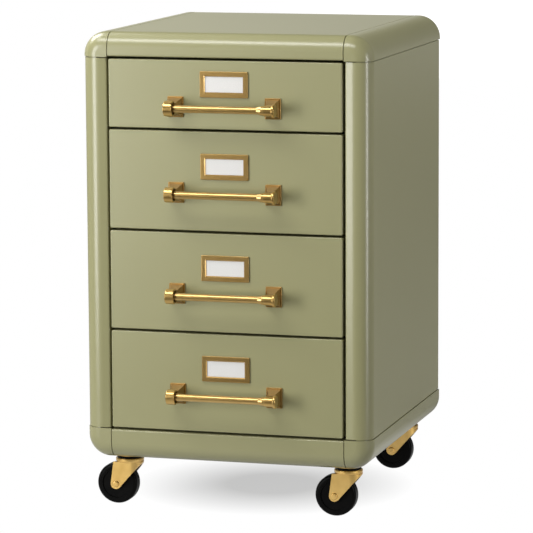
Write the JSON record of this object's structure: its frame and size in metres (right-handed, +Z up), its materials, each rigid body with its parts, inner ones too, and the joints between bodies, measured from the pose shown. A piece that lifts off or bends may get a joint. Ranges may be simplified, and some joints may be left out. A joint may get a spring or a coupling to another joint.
{
  "type": "rolling drawer cabinet",
  "caption": "Upright drawer cabinet on swivel casters, with rounded painted steel case, telescopic drawers, brass bar pulls and label holders.",
  "frame": {"origin": "on the floor, under the middle of the whole outline, pulls and rear screw heads included", "axes": "+Z up, the drawers face -Y, +X to the right of someone who stands before the drawers"},
  "size_m": [0.381, 0.4148, 0.6195],
  "materials": {
    "case_paint": "satin",
    "polished_brass": "polished",
    "aged_brass": "satin",
    "zinc_steel": "zinc plated",
    "wheel_black": "semi-gloss",
    "card": "matte card"
  },
  "bodies": {
    "cabinet": {"top_panel": "case_paint", "top_end_caps": "case_paint", "left_side_panel": "case_paint", "right_side_panel": "case_paint", "base_panel": "case_paint", "base_end_caps": "case_paint", "back_panel": "case_paint", "back_screws": "zinc_steel", "slide_uprights": "zinc_steel", "fixed_slide_rails": "zinc_steel", "caster_stems": "polished_brass", "caster_nuts": "zinc_steel"},
    "top_drawer": {"top_drawer_front": "case_paint", "top_drawer_tray": "case_paint", "top_drawer_rails": "zinc_steel", "top_drawer_pull_bar": "polished_brass", "top_drawer_pull_posts": "polished_brass", "top_drawer_pull_screws": "zinc_steel", "top_drawer_label_frame": "aged_brass", "top_drawer_label_card": "card"},
    "top_drawer_slide": {"top_drawer_middle_rails": "zinc_steel"},
    "second_drawer": {"second_drawer_front": "case_paint", "second_drawer_tray": "case_paint", "second_drawer_rails": "zinc_steel", "second_drawer_pull_bar": "polished_brass", "second_drawer_pull_posts": "polished_brass", "second_drawer_pull_screws": "zinc_steel", "second_drawer_label_frame": "aged_brass", "second_drawer_label_card": "card"},
    "second_drawer_slide": {"second_drawer_middle_rails": "zinc_steel"},
    "third_drawer": {"third_drawer_front": "case_paint", "third_drawer_tray": "case_paint", "third_drawer_rails": "zinc_steel", "third_drawer_pull_bar": "polished_brass", "third_drawer_pull_posts": "polished_brass", "third_drawer_pull_screws": "zinc_steel", "third_drawer_label_frame": "aged_brass", "third_drawer_label_card": "card"},
    "third_drawer_slide": {"third_drawer_middle_rails": "zinc_steel"},
    "bottom_drawer": {"bottom_drawer_front": "case_paint", "bottom_drawer_tray": "case_paint", "bottom_drawer_rails": "zinc_steel", "bottom_drawer_pull_bar": "polished_brass", "bottom_drawer_pull_posts": "polished_brass", "bottom_drawer_pull_screws": "zinc_steel", "bottom_drawer_label_frame": "aged_brass", "bottom_drawer_label_card": "card"},
    "bottom_drawer_slide": {"bottom_drawer_middle_rails": "zinc_steel"},
    "front_left_fork": {"front_left_caster_fork": "polished_brass", "front_left_caster_axle": "polished_brass"},
    "front_left_wheel": {"front_left_caster_wheel": "wheel_black"},
    "front_right_fork": {"front_right_caster_fork": "polished_brass", "front_right_caster_axle": "polished_brass"},
    "front_right_wheel": {"front_right_caster_wheel": "wheel_black"},
    "rear_left_fork": {"rear_left_caster_fork": "polished_brass", "rear_left_caster_axle": "polished_brass"},
    "rear_left_wheel": {"rear_left_caster_wheel": "wheel_black"},
    "rear_right_fork": {"rear_right_caster_fork": "polished_brass", "rear_right_caster_axle": "polished_brass"},
    "rear_right_wheel": {"rear_right_caster_wheel": "wheel_black"}
  },
  "joints": [
    {"name": "top_drawer_slide", "type": "slide", "parent": "cabinet", "child": "top_drawer", "axis": [0, -1, 0], "range_m": [0, 0.3]},
    {"name": "top_drawer_middle_slide", "type": "slide", "parent": "cabinet", "child": "top_drawer_slide", "axis": [0, -1, 0], "range_m": [0, 0.15]},
    {"name": "second_drawer_slide", "type": "slide", "parent": "cabinet", "child": "second_drawer", "axis": [0, -1, 0], "range_m": [0, 0.3]},
    {"name": "second_drawer_middle_slide", "type": "slide", "parent": "cabinet", "child": "second_drawer_slide", "axis": [0, -1, 0], "range_m": [0, 0.15]},
    {"name": "third_drawer_slide", "type": "slide", "parent": "cabinet", "child": "third_drawer", "axis": [0, -1, 0], "range_m": [0, 0.3]},
    {"name": "third_drawer_middle_slide", "type": "slide", "parent": "cabinet", "child": "third_drawer_slide", "axis": [0, -1, 0], "range_m": [0, 0.15]},
    {"name": "bottom_drawer_slide", "type": "slide", "parent": "cabinet", "child": "bottom_drawer", "axis": [0, -1, 0], "range_m": [0, 0.3]},
    {"name": "bottom_drawer_middle_slide", "type": "slide", "parent": "cabinet", "child": "bottom_drawer_slide", "axis": [0, -1, 0], "range_m": [0, 0.15]},
    {"name": "front_left_swivel", "type": "hinge", "parent": "cabinet", "child": "front_left_fork", "pos_m": [-0.1475, -0.11843, 0.06], "axis": [0, 0, 1], "continuous": true},
    {"name": "front_left_roll", "type": "hinge", "parent": "front_left_fork", "child": "front_left_wheel", "pos_m": [-0.163, -0.11843, 0.027], "axis": [0, 1, 0], "continuous": true},
    {"name": "front_right_swivel", "type": "hinge", "parent": "cabinet", "child": "front_right_fork", "pos_m": [0.1475, -0.11843, 0.06], "axis": [0, 0, 1], "continuous": true},
    {"name": "front_right_roll", "type": "hinge", "parent": "front_right_fork", "child": "front_right_wheel", "pos_m": [0.132, -0.11843, 0.027], "axis": [0, 1, 0], "continuous": true},
    {"name": "rear_left_swivel", "type": "hinge", "parent": "cabinet", "child": "rear_left_fork", "pos_m": [-0.1475, 0.18357, 0.06], "axis": [0, 0, 1], "continuous": true},
    {"name": "rear_left_roll", "type": "hinge", "parent": "rear_left_fork", "child": "rear_left_wheel", "pos_m": [-0.163, 0.18357, 0.027], "axis": [0, 1, 0], "continuous": true},
    {"name": "rear_right_swivel", "type": "hinge", "parent": "cabinet", "child": "rear_right_fork", "pos_m": [0.1475, 0.18357, 0.06], "axis": [0, 0, 1], "continuous": true},
    {"name": "rear_right_roll", "type": "hinge", "parent": "rear_right_fork", "child": "rear_right_wheel", "pos_m": [0.132, 0.18357, 0.027], "axis": [0, 1, 0], "continuous": true}
  ],
  "couplings": [
    {"joint": "top_drawer_middle_slide", "follows": "top_drawer_slide", "ratio": 0.5},
    {"joint": "second_drawer_middle_slide", "follows": "second_drawer_slide", "ratio": 0.5},
    {"joint": "third_drawer_middle_slide", "follows": "third_drawer_slide", "ratio": 0.5},
    {"joint": "bottom_drawer_middle_slide", "follows": "bottom_drawer_slide", "ratio": 0.5}
  ]
}
